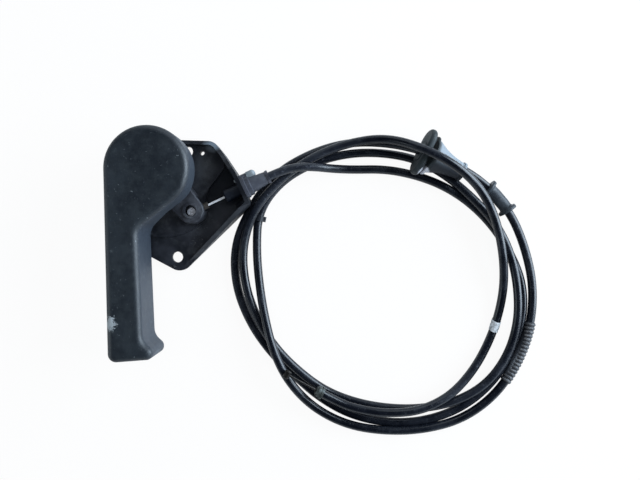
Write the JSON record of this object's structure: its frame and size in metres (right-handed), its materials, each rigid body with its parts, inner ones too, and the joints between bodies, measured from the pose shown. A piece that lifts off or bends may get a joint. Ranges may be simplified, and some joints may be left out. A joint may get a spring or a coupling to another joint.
{
  "type": "hood release handle",
  "caption": "Hood release handle: a pull lever pivoted on a moulded bracket, with its coiled Bowden cable and bulkhead grommet.",
  "frame": {"origin": "on the lever's pivot axis, at the bracket's flat back face", "axes": "+Z out of the panel towards the hand, +Y up the handle's head, -Y down its grip, +X towards the cable"},
  "size_m": [0.2677, 0.1953, 0.045],
  "materials": {
    "handle_plastic": "fine-grained moulded plastic with dust and scuffs",
    "bracket_plastic": "glass-filled moulded plastic, satin, dusty",
    "lever_plastic": "moulded plastic, satin",
    "fitting_plastic": "moulded plastic",
    "peg_plastic": "pale grey moulded plastic",
    "sheath": "extruded sheath, half gloss, scuffed",
    "sleeve": "corrugated sleeve, dusty",
    "tape": "blank tape, dull",
    "rubber": "moulded rubber, dusty",
    "steel": "plated steel",
    "wire": "bright drawn wire",
    "zinc": "die-cast zinc, rough",
    "crimp_metal": "rolled metal",
    "ferrule_metal": "plated steel, stained"
  },
  "bodies": {
    "base": {"bracket": "bracket_plastic", "pivot_pin": "steel", "thrust_washer": "steel", "retaining_ring": "steel", "conduit_end": "fitting_plastic", "retaining_peg": "peg_plastic", "crimp_ring": "crimp_metal", "cable_lead": "sheath", "cable_coil": "sheath", "cable_tail": "sheath", "firewall_grommet": "rubber", "guide_sleeve": "fitting_plastic", "tape_band": "tape", "ribbed_sleeve": "sleeve", "sheath_clip": "fitting_plastic", "far_ferrule": "ferrule_metal"},
    "lever": {"handle": "handle_plastic", "release_lever": "lever_plastic"},
    "cable_end": {"cable_nipple": "zinc", "pull_wire": "wire"},
    "far_end": {"far_wire": "wire", "far_nipple": "zinc"}
  },
  "joints": [
    {"name": "lever_turn", "type": "hinge", "parent": "base", "child": "lever", "pos_m": [0, 0, 0], "axis": [0, 0, -1], "range_deg": [0, 33]},
    {"name": "wire_pull", "type": "slide", "parent": "base", "child": "cable_end", "axis": [-0.9063, -0.4226, 0], "range_m": [0, 0.0184]},
    {"name": "far_wire_pull", "type": "slide", "parent": "base", "child": "far_end", "axis": [0.8596, -0.4963, -0.1219], "range_m": [0, 0.0184]}
  ],
  "couplings": [
    {"joint": "wire_pull", "follows": "lever_turn", "m_per_rad": 0.031757},
    {"joint": "far_wire_pull", "follows": "lever_turn", "m_per_rad": 0.031757}
  ]
}
